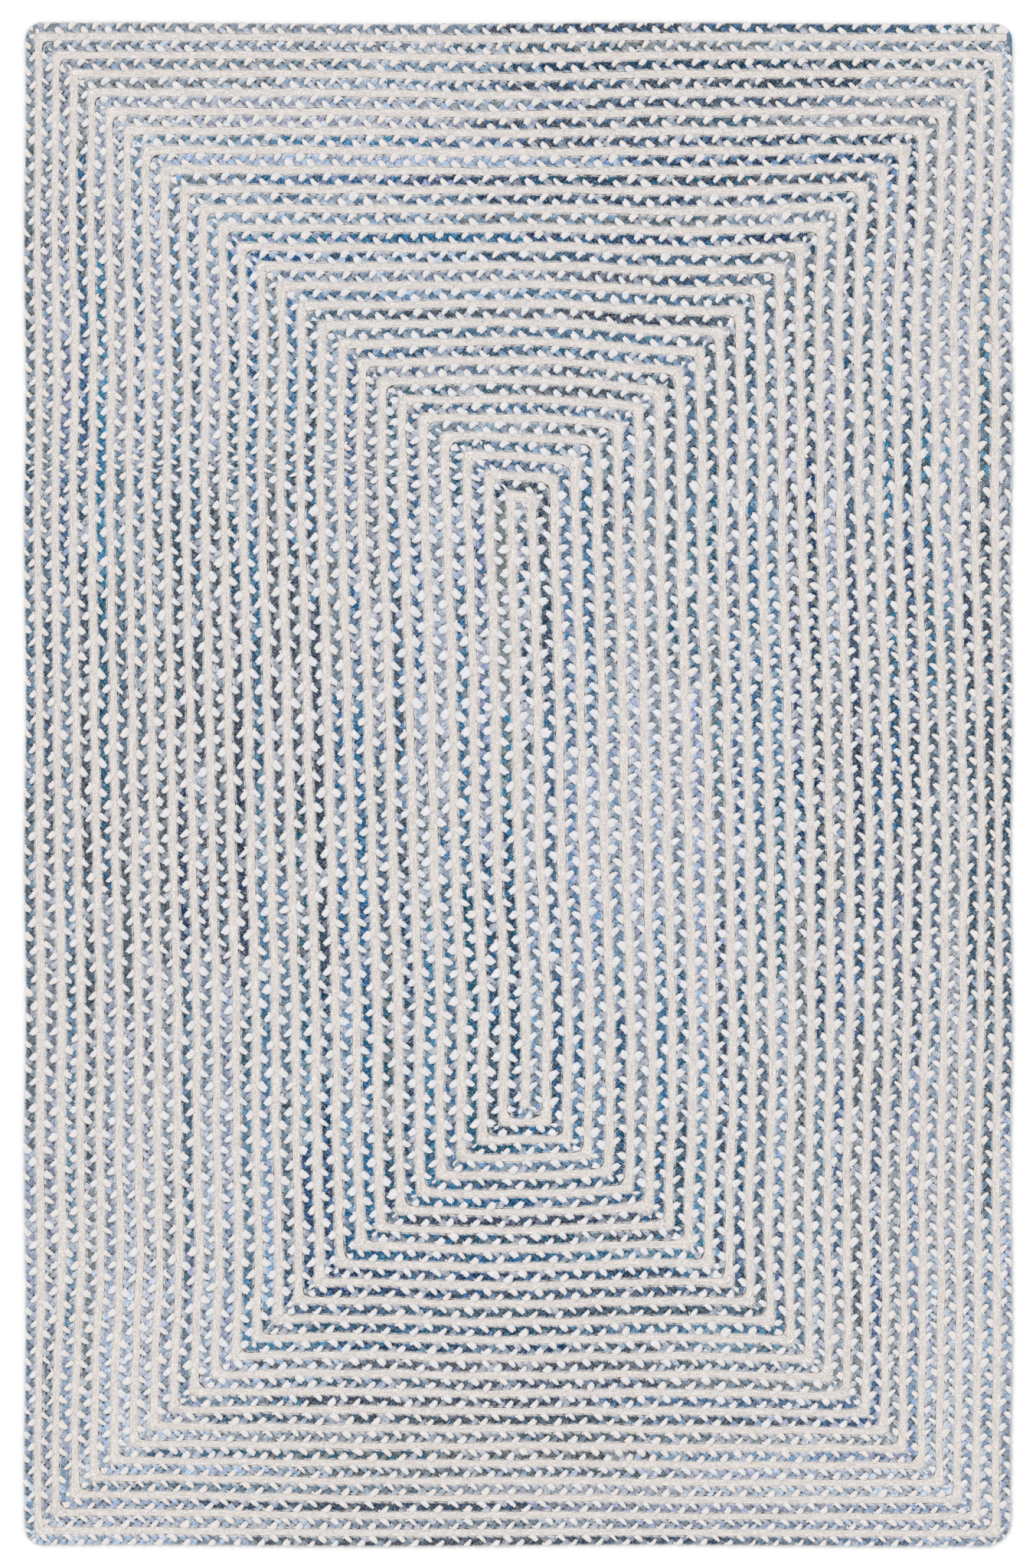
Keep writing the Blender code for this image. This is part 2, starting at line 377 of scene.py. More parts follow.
outer_radii = np.concatenate([inside_radii[3:], [END_RADIUS]])
outer_radii[[number + 1 for number in OUTLINE_RADIUS]] = list(OUTLINE_RADIUS.values())
inner_radii = np.concatenate([[END_RADIUS, END_RADIUS], outside_radii[1 : TAIL_BEND + 1]])
plait = laid_course(plait_edge(-PLAIT_EDGE), plait_edge(PLAIT_EDGE), inner_radii, outer_radii)
rug_middle = (plait.outer.min(0) + plait.outer.max(0)) / 2
fold_place = plait.corners[-1] - FOLD_BEFORE_CORNER
# How many repeats lie before each place: the leaves are bunched up at the corners, where the plait is
# pulled round, and the outline's corners are wider than the others.
plaited = plait.along[plait.along < fold_place]
bunched = 1 + CORNER_BUNCH * near_corners(plait, plaited, CORNER_BUNCH_REACH)
bunched = bunched + OUTLINE_BUNCH * near_corners(plait, plaited, OUTLINE_BUNCH_REACH, 4)
slackness = 1 + REPEAT_SPREAD * wander(3, plaited, REPEAT_WANDER)
crossings = np.cumsum(SAMPLE / REPEAT * bunched / slackness)


def strand_on(course, along, across, height, leaf):
    """A strand from where the points of its rings lie along and across a course, and how high."""
    flat = on_course(course, along, across) - rug_middle
    rings = np.concatenate([flat, height[..., None]], -1)
    steps = np.linalg.norm(np.diff(rings.mean(1), axis=0), axis=1)
    return Strand(rings, np.concatenate([[0], np.cumsum(steps)]), np.stack([along, across], -1), leaf)


def section_turned(section, half_width, half_height, roll):
    """A section's points, rings by points, as metres sideways and up: the band's half width and half
    height times its points, turned by its roll, x cos - y sin and x sin + y cos."""
    x = half_width[:, None] * np.array([point.across for point in section])
    y = half_height[:, None] * np.array([point.height for point in section])
    cosine, sine = np.cos(roll)[:, None], np.sin(roll)[:, None]
    return x * cosine - y * sine, x * sine + y * cosine


def plaited_strand(order, seed, leaf_rings, half_width, unevenness, overlap, thinning):
    """The rings of one of three strands, by the table of a leaf's rings: each is the strand's section, set
    across its own heading at a place along and across the plait. Each leaf lies on the other side of the
    plait from the one before. The other strands are a third of a repeat before and after it. overlap is
    how far leaves may reach over the tape, as a part of the plait's half width, and thinning how much
    narrower the strand is at the outline."""
    random = default_rng(seed)
    rings_a_leaf = len(leaf_rings)
    first = math.floor((crossings[0] + order / 3) * 2) * rings_a_leaf
    last = math.floor((crossings[-1] + order / 3) * 2) * rings_a_leaf
    number = np.arange(first, last + 1)
    leaf = (number + 1) // rings_a_leaf  # it begins with the ring underneath that leads into it
    side = np.where(number // rings_a_leaf % 2, -1, 1)
    leaf -= leaf[0]
    ring = LeafRing(*np.array(leaf_rings)[number % rings_a_leaf].T)
    each_leaf = random.uniform(-1, 1, (6, leaf[-1] + 1))[:, leaf]
    each_ring = random.uniform(-1, 1, (3, len(number)))
    turn = (number // rings_a_leaf + ring.along) / 2
    along = np.interp(turn - order / 3, crossings, plaited) + LEAF_ALONG * each_leaf[4]
    along = np.clip(along, FIRST_RINGS * (number - first + 1), fold_place)
    edges = on_course(plait, along[:, None], [-1, 1])
    room = np.clip(np.linalg.norm(edges[:, 1] - edges[:, 0], axis=1) / 2, 0.001, MOST_ROOM * HALF_WIDTH)
    from_end = np.minimum(along - along[0], along[-1] - along)
    tuck = np.sin(np.clip(from_end / END_TUCK, 0.02, 1) * np.pi / 2)
    across = side * (ring.across + LEAF_ACROSS * each_leaf[0] - DRAWN_IN) * tuck
    rise = CROSSING_RISE * (ring.rise - SUNK + RING_RISE * each_ring[0]) * tuck
    heading = side * np.radians(ring.heading + LEAF_HEADING * each_leaf[4])
    path = np.column_stack([np.cos(heading), np.sin(heading)])
    slow = 1 + STRAND_SPREAD * wander(seed, along, STRAND_WANDER) - thinning * along / along[-1]
    quick = 1 + unevenness * each_leaf[1] + RING_WIDTH * each_ring[1]
    width = half_width * (ring.width * slow) * quick * room / HALF_WIDTH
    height = STRAND_RISE * (1 + LEAF_HEIGHT * each_leaf[2])
    roll = np.radians(side * ring.roll + LEAF_ROLL * each_leaf[3] + RING_ROLL * each_ring[2])
    tucked = TUCKED_WIDTH + (1 - TUCKED_WIDTH) * tuck
    sideways, up = section_turned(STRAND_SECTION, width * tucked, height, roll)
    at_along = along[:, None] - sideways * path[:, 1:]
    at_across = across[:, None] + sideways * path[:, :1] / room[:, None]
    at_outline = (along > plait.corners[-5]) & (side > 0)
    overlap = overlap * np.where(at_outline, OUTLINE_OVERLAP, 1 - near_corners(plait, along, CORNER_CLEAR))
    overlap = overlap * (1 - OVERLAP_SPREAD + OVERLAP_SPREAD * each_leaf[5])
    edge = SEAM + overlap[:, None]
    at_across = np.clip(at_across, -edge, edge)
    at_height = np.clip(PLAIT_HEIGHT / 2 + rise[:, None] + up, LOWEST, PLAIT_HEIGHT)
    return strand_on(plait, at_along, at_across, at_height, leaf)


BAKE_INSET = 0.002  # left free at the ends of a row of the map OFBake, as a part of the row's length
BAKE_GAP = 0.06  # and at its sides, as a part of its height


def cloth_tube(name, strand, around, rows, marks, material):
    """A closed mesh from a strand's rings, with a flat cap at each end. Its map along is metres along it
    and round it, and its map on_course is where it lies on its course. Its map OFBake lays its skin out
    in rows. marks are numbers for each ring."""
    count, sides = strand.rings.shape[:2]
    ring, side = np.meshgrid(np.arange(count - 1), np.arange(sides), indexing="ij")
    after = (side + 1) % sides
    here, ahead = ring * sides, (ring + 1) * sides
    corners = np.stack([here + side, here + after, ahead + after, ahead + side], -1)
    caps = np.stack([np.arange(sides)[::-1], (count - 1) * sides + np.arange(sides)])
    loops = np.concatenate([corners.ravel(), caps.ravel()])
    sizes = np.concatenate([np.full(corners.size // 4, 4), [sides, sides]])
    mesh = bpy.data.meshes.new(name)
    mesh.vertices.add(count * sides)
    mesh.vertices.foreach_set("co", strand.rings.ravel())
    mesh.loops.add(len(loops))
    mesh.loops.foreach_set("vertex_index", loops)
    mesh.polygons.add(len(sizes))
    mesh.polygons.foreach_set("loop_start", np.cumsum(sizes) - sizes)
    mesh.update(calc_edges=True)
    ahead, beside = ring[..., None] + [0, 0, 1, 1], side[..., None] + [0, 1, 1, 0]
    along_map = np.stack([strand.lengthwise[ahead], around[beside]], -1)
    a_row = math.ceil((count - 1) / rows)
    row = ring[..., None] // a_row
    in_row = (ahead - row * a_row) / a_row
    bake_along = in_row * (1 - 2 * BAKE_INSET) + BAKE_INSET
    bake_across = (row + BAKE_GAP + (1 - 2 * BAKE_GAP) * beside / sides) / rows
    bake_map = np.stack([bake_along, bake_across], -1)
    on_caps = np.zeros((2 * sides, 2))
    along_map, bake_map = (np.concatenate([flat.reshape(-1, 2), on_caps]) for flat in (along_map, bake_map))
    course_map = strand.course_map.reshape(-1, 2)[loops]
    for map_name, flat in (("along", along_map), ("on_course", course_map), ("OFBake", bake_map)):
        mesh.uv_layers.new(name=map_name).uv.foreach_set("vector", flat.ravel())
    for mark, values in marks.items():
        mesh.attributes.new(mark, "FLOAT", "POINT").data.foreach_set("value", np.repeat(values, sides))
    mesh.materials.append(material)
    mesh.shade_smooth()
    return put(name, mesh)


def lengths_of(strand, marks, parts):
    """A strand and its marks, cut into numbered lengths of like size. Neighbours share a ring."""
    cuts = np.linspace(0, len(strand.rings) - 1, parts + 1).astype(int)
    for number, (start, end) in enumerate(zip(cuts, cuts[1:]), 1):
        length = Strand(*(values[start : end + 1] for values in strand))
        yield number, length, {mark: values[start : end + 1] for mark, values in marks.items()}


def add(tree, kind, inputs=None, **settings):
    """A node with its settings, and its inputs each set to a value or linked from a socket."""
    made = tree.nodes.new("ShaderNode" + kind)
    for key, value in settings.items():
        setattr(made, key, value)
    for socket, value in (inputs or {}).items():
        if isinstance(value, bpy.types.NodeSocket):
            tree.links.new(value, made.inputs[socket])
        else:
            made.inputs[socket].default_value = value
    return made


def maths(tree, operation, *values):
    """The result of one Math node."""
    return add(tree, "Math", dict(enumerate(values)), operation=operation).outputs[0]


def ranged(tree, value, low, high, to_low=0.0, to_high=1.0, kind="SMOOTHSTEP"):
    """A value taken from one range to another, and held at its ends."""
    inputs = {"Value": value, "From Min": low, "From Max": high, "To Min": to_low, "To Max": to_high}
    return add(tree, "MapRange", inputs, interpolation_type=kind).outputs["Result"]


def blended(tree, factor, one, other):
    """Two colours blended by a factor."""
    return add(tree, "Mix", {0: factor, 6: one, 7: other}, data_type="RGBA").outputs[2]


def marked(tree, mark):
    """The numbers that a mark gives the rings of a mesh."""
    return add(tree, "Attribute", attribute_name=mark).outputs["Fac"]


def height_in(tree):
    """The height above the rug's underside."""
    return add(tree, "SeparateXYZ", {0: add(tree, "TexCoord").outputs["Object"]}).outputs["Z"]


def group(name, inputs, outputs):
    """A shader node group with its sockets, and the nodes at its two ends."""
    tree = bpy.data.node_groups.new(name, "ShaderNodeTree")
    for direction, sockets in (("INPUT", inputs), ("OUTPUT", outputs)):
        for socket, kind in sockets.items():
            tree.interface.new_socket(socket, in_out=direction, socket_type="NodeSocket" + kind)
    return tree, tree.nodes.new("NodeGroupInput").outputs, tree.nodes.new("NodeGroupOutput").inputs


def place(tree, effect, inputs):
    """A node group put into a material, with its values."""
    return add(tree, "Group", inputs, node_tree=effect).outputs


def screen(red, green, blue):
    """A linear colour from the shades of a screen, 0 to 255: about the power 2.4, with a straight foot."""
    shade = np.array([red, green, blue]) / 255
    return (*np.where(shade <= 0.04045, shade / 12.92, ((shade + 0.055) / 1.055) ** 2.4), 1.0)


NOISE_SPAN = (0.28, 0.72)  # what the values of a noise mostly lie between
# Plait and tape are sewn edge to edge in a zigzag, which draws teeth of lint over the seam. Mask is 1
# where (noise + zigzag) / 2 is over From Seam / Reach, which leaves a ragged border.
STITCH = 0.0026  # the length of one zigzag
LINT_GRAIN = 520.0  # bits of lint in a metre
LINT_LOW = 0.0036  # between these heights it comes up, because the sides of the courses have none
LINT_HIGH = 0.0052
teeth, given, result = group(
    "sewn_border",
    {"Along": "Float", "Place": "Vector", "From Seam": "Float", "Stitch": "Float", "Reach": "Float"},
    {"Mask": "Float"},
)
stitch = maths(teeth, "FRACT", maths(teeth, "DIVIDE", given["Along"], given["Stitch"]))
zigzag = maths(teeth, "ABSOLUTE", maths(teeth, "SUBTRACT", maths(teeth, "MULTIPLY", stitch, 2.0), 1.0))
ragged = add(teeth, "TexNoise", {"Vector": given["Place"], "Scale": LINT_GRAIN, "Detail": 1.5}).outputs[0]
ragged = ranged(teeth, ragged, *NOISE_SPAN, kind="LINEAR")
tooth = maths(teeth, "MULTIPLY", maths(teeth, "ADD", ragged, zigzag), 0.5)
short_of = maths(teeth, "SUBTRACT", tooth, maths(teeth, "DIVIDE", given["From Seam"], given["Reach"]))
teeth.links.new(ranged(teeth, short_of, -0.08, 0.08), result["Mask"])

# The fuzz and grain of worn cotton: specks a thread or two wide, and soft blotches over four times as wide.
fuzz, given, result = group(
    "cotton_fuzz",
    {"Place": "Vector", "Speck": "Float", "Seed": "Float"},
    {"Specks": "Float", "Blotches": "Float"},
)
for socket, fineness in (("Specks", 1.0), ("Blotches", 0.22)):
    scale = maths(fuzz, "DIVIDE", fineness, given["Speck"])
    seeded = {"Vector": given["Place"], "W": given["Seed"], "Scale": scale}
    seeded |= {"Detail": 2.5, "Roughness": 0.62}
    noise = add(fuzz, "TexNoise", seeded, noise_dimensions="4D").outputs[0]
    fuzz.links.new(ranged(fuzz, noise, *NOISE_SPAN, kind="LINEAR"), result[socket])

# Painted shade: what lies deep between the strands is darkened by its height, for the shadow in the creases.
shade_in_creases, given, result = group(
    "crease_shade",
    {"Deep": "Float", "High": "Float", "Shade": "Float"},
    {"Light": "Float"},
)
light = ranged(shade_in_creases, height_in(shade_in_creases), given["Deep"], given["High"], given["Shade"], 1.0)
shade_in_creases.links.new(light, result["Light"])


def lit(tree, color, light):
    """A colour made lighter or darker: each of its parts times one number."""
    return add(tree, "VectorMath", {0: color, "Scale": light}, operation="SCALE").outputs[0]


def toned(tree, color, value, dark, light):
    """A colour times a number that goes from dark to light as the value goes from 0 to 1."""
    return lit(tree, color, ranged(tree, value, 0, 1, dark, light, "LINEAR"))


def on_seam(tree, along_map, course_map, half_width, reach, edge=1.0):
    """The lint over the seams of a piece, by how far it is in from the nearer one: half width times
    edge - |across|. There is none low down on the piece's sides."""
    xyz = add(tree, "SeparateXYZ", {0: course_map})
    inwards = maths(tree, "SUBTRACT", edge, maths(tree, "ABSOLUTE", xyz.outputs["Y"]))
    from_seam = maths(tree, "MULTIPLY", inwards, half_width)
    values = {"Along": xyz.outputs["X"], "Place": along_map, "From Seam": from_seam}
    mask = place(tree, teeth, values | {"Stitch": STITCH, "Reach": reach})["Mask"]
    return maths(tree, "MULTIPLY", mask, ranged(tree, height_in(tree), LINT_LOW, LINT_HIGH))


def new_cloth(name, roughness):
    """A material with its Principled shader, and the two maps of a piece on a course."""
    material = bpy.data.materials.new(name)
    material.use_nodes = True
    tree = material.node_tree
    shader = tree.nodes["Principled BSDF"]
    shader.inputs["Roughness"].default_value = roughness
    shader.inputs["Specular IOR Level"].default_value = 0.2
    along = add(tree, "UVMap", uv_map="along").outputs[0]
    course = add(tree, "UVMap", uv_map="on_course").outputs[0]
    return material, tree, shader, along, course


def streaked(tree, along_map, scale, detail, roughness=0.5):
    """Streaks along a strip: a noise on the map along, stretched by its two scales."""
    stretched = add(tree, "Mapping", {"Vector": along_map, "Scale": (*scale, 1)}).outputs[0]
    noise = {"Vector": stretched, "Scale": 1.0, "Detail": detail, "Roughness": roughness}
    return add(tree, "TexNoise", noise).outputs[0]


def finish_cloth(tree, shader, color, relief, strength, distance):
    """A colour and a relief put on the material's shader."""
    tree.links.new(color, shader.inputs["Base Color"])
    bump = add(tree, "Bump", {"Height": relief, "Strength": strength, "Distance": distance})
    tree.links.new(bump.outputs[0], shader.inputs["Normal"])


# The white cotton itself.
WHITE_HALF_WIDTH = 0.0053
WHITE_UNEVENNESS = 0.25  # how much wider or narrower than the others a leaf may be
WHITE_OVERLAP = 0.38  # its leaves lie a little over the tape
WHITE_THINNING = 0.14  # how much narrower it is at the outline than in the middle
WHITE_PIECES = 2
AROUND_STRAND = np.cumsum([0, 0.0027, 0.0050, 0.0027, 0.0048, 0.0048])  # metres round its section
STRAND_ROWS = 56  # rows of its map OFBake
WHITE = screen(235, 233, 236)
WHITE_SHADE = screen(216, 217, 221)
CREAM = screen(229, 223, 219)
CREAM_WANDER = 1.1  # metres over which it turns creamier
IVORY_LINT = screen(222, 219, 219)
WHITE_LINT_REACH = 0.0030  # how far in from the seam it is caught
WHITE_SPECK = 0.0015

white_cotton, tree, shader, along_map, course_map = new_cloth("white_cotton", 0.9)
grain = place(tree, fuzz, {"Place": along_map, "Speck": WHITE_SPECK, "Seed": 2.0})
color = blended(tree, grain["Blotches"], WHITE_SHADE, WHITE)
color = blended(tree, marked(tree, "cream"), color, CREAM)
color = toned(tree, color, grain["Specks"], 0.84, 1.10)
lint = on_seam(tree, along_map, course_map, HALF_WIDTH, WHITE_LINT_REACH)
color = blended(tree, lint, color, IVORY_LINT)
# Painted shade: the cotton is darker low down between the strands, where they shadow one another.
color = lit(tree, color, place(tree, shade_in_creases, {"Deep": 0.0025, "High": 0.0055, "Shade": 0.5})["Light"])
finish_cloth(tree, shader, color, grain["Specks"], 0.4, 0.0004)

white_strand = plaited_strand(
    0, 11, WHITE_LEAF, WHITE_HALF_WIDTH, WHITE_UNEVENNESS, WHITE_OVERLAP, WHITE_THINNING
)
outwards = np.linspace(0, 1, len(white_strand.rings))
cream = np.clip(0.1 + 0.7 * outwards + 0.4 * wander(17, white_strand.lengthwise, CREAM_WANDER), 0, 1)
for number, length, marks in lengths_of(white_strand, {"cream": cream}, WHITE_PIECES):
    name = f"white_strand_{number}"
    piece = cloth_tube(name, length, AROUND_STRAND, STRAND_ROWS, marks, white_cotton)
    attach(piece, "root")
    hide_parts("denim_plait")


# ------------------------------ the denim strands
# Two strands of worn denim, torn in strips from many old jeans, joined end to end and folded so that
# raw edges and now and then the pale back show. They are plaited with the white strand, and their
# leaves stop at the seam.

DENIM_HALF_WIDTH = 0.0053
DENIM_UNEVENNESS = 0.22
DENIM_OVERLAP = 0.04
DENIM_THINNING = -0.06  # they are wider at the outline, where the white strand is narrower
DENIM_LEAF = (
    LeafRing(0.00, -0.08, 48, 0, 0.84, -0.40),
    LeafRing(0.20, 0.48, 48, 0, 1.06, 1.00),
    LeafRing(0.41, 1.00, 43, 24, 1.08, 0.60),
    LeafRing(0.72, 0.52, -35, 0, 1.05, -0.90),
)
DENIM_PIECES = 2
STRIP_LEAVES = (5, 30)  # the fewest leaves of one strip, and one more than the most
# How a mark comes and goes from strip to strip: about a middle, by a slow wander over so many metres,
# and by a scatter.
Drift = namedtuple("Drift", "middle wander metres scatter")
TONE = Drift(0.0, 1.0, 1.3, 0.4)
BLUE = Drift(0.6, 0.4, 0.9, 0.25)
HUE = Drift(0.5, 0.2, 0.7, 0.2)
LIKENESS = Drift(0.5, 1.3, 3.5, 0)  # how alike both strands are, from 1 to -1 where they are opposite
LEAF_HUE = 0.15  # the scatter of hue from leaf to leaf
DARK_MIDDLE = 0.7  # how much darker the strips are in the rug's middle, fading over metres of plait
DARK_METRES = 22
BLUE_LOST = 0.2  # how much less blue they are at the outline
# The denims in the rug, from dark to pale, each with its share of the strips.
Denim = namedtuple("Denim", "share color")
DENIMS = (
    Denim(0.08, screen(54, 73, 96)),
    Denim(0.04, screen(66, 79, 93)),
    Denim(0.13, screen(66, 96, 113)),
    Denim(0.14, screen(84, 112, 138)),
    Denim(0.03, screen(122, 131, 134)),
    Denim(0.15, screen(107, 136, 157)),
    Denim(0.08, screen(140, 152, 164)),
    Denim(0.12, screen(143, 164, 182)),
    Denim(0.09, screen(162, 170, 189)),
    Denim(0.10, screen(172, 186, 203)),
    Denim(0.04, screen(188, 200, 214)),
)
DENIM_BACK = screen(188, 194, 207)
FRAY = screen(222, 226, 230)
DENIM_LINT_REACH = 0.0042
DENIM_SPECK = 0.0020
SATURATION = (0.62, 1.68)  # from the greyest strips to the bluest, by the mark blue
HUES = (0.484, 0.528)  # from green to violet, by the mark hue

worn_denim, tree, shader, along_map, course_map = new_cloth("worn_denim", 0.92)
strip, leaf = marked(tree, "strip"), marked(tree, "leaf")
ramp = add(tree, "ValToRGB", {0: strip})
ramp.color_ramp.interpolation = "CONSTANT"
start = 0.0
for number, denim in enumerate(DENIMS):
    stop = ramp.color_ramp.elements[number] if number < 2 else ramp.color_ramp.elements.new(start)
    stop.position, stop.color = start, denim.color
    start += denim.share
dyed = {"Color": ramp.outputs["Color"]}
dyed["Saturation"] = ranged(tree, marked(tree, "blue"), 0, 1, *SATURATION, "LINEAR")
dyed["Hue"] = ranged(tree, marked(tree, "hue"), 0, 1, *HUES, "LINEAR")
grain = place(tree, fuzz, {"Place": along_map, "Speck": DENIM_SPECK, "Seed": 7.0})
shade = maths(tree, "FRACT", maths(tree, "MULTIPLY", leaf, 17.3))
color = add(tree, "HueSaturation", dyed).outputs["Color"]
color = toned(tree, color, shade, 0.74, 1.18)
color = blended(tree, ranged(tree, leaf, 0.70, 0.97, 0.0, 0.85), color, DENIM_BACK)
color = toned(tree, color, grain["Blotches"], 0.66, 1.34)
color = toned(tree, color, grain["Specks"], 0.46, 1.52)
streaks = streaked(tree, along_map, (130, 800), 3.0, 0.6)
color = blended(tree, ranged(tree, streaks, 0.50, 0.68, 0.0, 0.50), color, FRAY)
color = lit(tree, color, ranged(tree, streaks, 0.46, 0.30, 1.0, 0.50))
# Painted shade: the denim is darker low down, in the creases between the leaves and at their edges.
color = lit(tree, color, place(tree, shade_in_creases, {"Deep": 0.0036, "High": 0.0072, "Shade": 0.45})["Light"])
lint = on_seam(tree, along_map, course_map, HALF_WIDTH, DENIM_LINT_REACH)
color = blended(tree, maths(tree, "MULTIPLY", lint, 0.85), color, IVORY_LINT)
relief = maths(tree, "ADD", maths(tree, "MULTIPLY", streaks, 1.2), grain["Specks"])
finish_cloth(tree, shader, color, relief, 0.7, 0.0005)


def drifting(drift, seed, places):
    """A mark's middle and its slow wander."""
    return drift.middle + drift.wander * wander(seed, places, drift.metres)


for order, name in ((1, "denim_strand_a"), (2, "denim_strand_b")):
    strand = plaited_strand(
        order, 20 + order, DENIM_LEAF, DENIM_HALF_WIDTH, DENIM_UNEVENNESS, DENIM_OVERLAP, DENIM_THINNING
    )
    random = default_rng(40 + order)
    last_leaves = np.cumsum(random.integers(*STRIP_LEAVES, len(strand.leaf)))
    strip_of_ring = np.searchsorted(last_leaves, strand.leaf, side="right")
    strips = strip_of_ring[-1] + 1
    # Strips that were dyed alike were used together, so both strands are mostly dark or pale at once,
    # bluer or greyer, and nearer to violet or to green. The sines do the same to courses that lie side
    # by side. The darkest and the bluest strips lie in the middle of the rug.
    starts = strand.course_map[np.searchsorted(strip_of_ring, np.arange(strips)), 0, 0]
    x, y = on_course(plait, starts, 0 * starts).T
    likeness = np.clip(drifting(LIKENESS, 57, starts), -1, 1) if order == 2 else 1
    tone = drifting(TONE, 51, starts) * likeness
    tone += 0.45 * np.sin(4.1 * x + 3.2 * y + 1) + 0.45 * np.sin(3.0 * y - 6.3 * x + 2)
    tone += random.uniform(-TONE.scatter, TONE.scatter, strips) - DARK_MIDDLE * np.exp(-starts / DARK_METRES)
    blue = drifting(BLUE, 53, starts) - BLUE_LOST * starts / starts[-1] + 0.2 * np.sin(5.2 * x - 3.9 * y)
    blue += random.uniform(-BLUE.scatter, BLUE.scatter, strips)
    hue = drifting(HUE, 55, starts) + random.uniform(-HUE.scatter, HUE.scatter, strips)
    leaf_numbers = random.uniform(0, 1, strand.leaf[-1] + 1)
    leaf_hues = random.uniform(-LEAF_HUE, LEAF_HUE, strand.leaf[-1] + 1)
    marks = {
        "strip": ((tone.argsort().argsort() + 0.5) / strips)[strip_of_ring],
        "blue": np.clip(blue, 0, 1)[strip_of_ring],
        "hue": np.clip(hue[strip_of_ring] + leaf_hues[strand.leaf], 0, 1),
        "leaf": leaf_numbers[strand.leaf],
    }
    for number, length, its_marks in lengths_of(strand, marks, DENIM_PIECES):
        piece_name = f"{name}_{number}"
        piece = cloth_tube(piece_name, length, AROUND_STRAND, STRAND_ROWS, its_marks, worn_denim)
        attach(piece, "root")
        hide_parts("denim_plait")


# ------------------------------ the plait's end
# At the last corner a cuff of white cotton is folded over the strands' ends, and a fold of denim strip
# comes out from under it and wraps the tape's end. Both are sewn down with the last turn.

CUFF_LAP = 0.012  # how far the cuff lies over the strands' ends
CUFF_END = 0.009  # and how far it goes on past them
FOLD_LAP = 0.003  # how far the fold lies under the cuff
END_STEP = 0.002
END_RISE = 0.004  # over which each strip rises to its full height
RISE_FROM = 0.1
NARROWING = 0.7  # the part of TAIL_WRAP along which the fold narrows
NARROWEST = 0.2  # to this part of its width
CORNER_SPREAD = 0.6  # how far it spreads inwards over the next turn's corner, as a part of its width
CORNER_SPREAD_REACH = 0.003
HEM_DRIFT = 0.05  # how far its hems drift, as a part of its half width, and over how many metres
HEM_WANDER = 0.007
CREASE_WANDER = 0.005
ONTO_WIDTH = 0.3  # how much narrower and lower it starts
ONTO_HEIGHT = 0.1
CREASES = 0.04  # how deep its creases are, as a part of its height
HEM_CLEAR = 0.55  # its sides are hems with no lint, so its map on_course stops short of the seams
END_ROWS = 2
END_AROUND = np.cumsum([0, 0.0045, 0.0035, 0.009, 0.0035, 0.0045, 0.018])
FOLD_MARKS = {"strip": 0.50, "leaf": 0.08, "blue": 0.6, "hue": 0.5}
CUFF_MARKS = {"cream": 0.7}
END_SECTION = (
    SectionPoint(1.00, 0.05),
    SectionPoint(1.00, 0.62),
    SectionPoint(0.70, 0.98),
    SectionPoint(-0.70, 0.98),
    SectionPoint(-1.00, 0.62),
    SectionPoint(-1.00, 0.05),
)


def laid_band(course, along, across, height):
    """A band with rings square across a course, from how far across it each point is, and how high."""
    square = np.broadcast_to(along[:, None], across.shape)
    return strand_on(course, square, across, height, np.zeros(len(along)))


def folded_strip(name, start, end, material, marks):
    """A flat strip round the plait's last corner. It rises at its start, narrows towards the plait's end
    and spreads at the next turn's corner, by a bell curve. Its hems and its top wander a little."""
    along = np.arange(start, end, END_STEP)
    onto = np.clip((along - start) / END_RISE, RISE_FROM, 1)[:, None]
    to_end = plait.along[-1] - along
    narrowed = np.clip(to_end / (NARROWING * TAIL_WRAP), NARROWEST, 1)
    past_corner = (to_end - TAIL_WRAP + CORNER_SPREAD_REACH) / CORNER_SPREAD_REACH
    narrowed = narrowed + CORNER_SPREAD * np.exp(-(past_corner**2))
    section_across, section_height = np.array(END_SECTION).T
    across = 1 - (1 - section_across * (1 - ONTO_WIDTH + ONTO_WIDTH * onto)) * narrowed[:, None]
    across = across - HEM_DRIFT * (1 + wander(61, along, HEM_WANDER)[:, None])
    creases = np.stack([wander(seed, along, CREASE_WANDER) for seed in range(62, 68)], 1)
    height = PLAIT_HEIGHT * section_height * (1 - CREASES + CREASES * creases)
    height = height * (1 - ONTO_HEIGHT + ONTO_HEIGHT * onto)
    band = laid_band(plait, along, across, height)
    band = band._replace(course_map=band.course_map * [1, HEM_CLEAR])
    ring_marks = {mark: np.full(len(along), value) for mark, value in marks.items()}
    piece = cloth_tube(name, band, END_AROUND, END_ROWS, ring_marks, material)
    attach(piece, "root")
    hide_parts("denim_plait")


cuff_end = fold_place + CUFF_END
folded_strip("plait_fold", cuff_end - FOLD_LAP, plait.along[-1], worn_denim, FOLD_MARKS)
folded_strip("plait_cuff", fold_place - CUFF_LAP, cuff_end, white_cotton, CUFF_MARKS)


# ------------------------------ the ivory tape
# A flat tape of knitted ivory cotton, folded lengthwise so that two soft ridges show. It is sewn along
# both edges between the plait's turns, and turned square at each corner, where it is folded over itself.

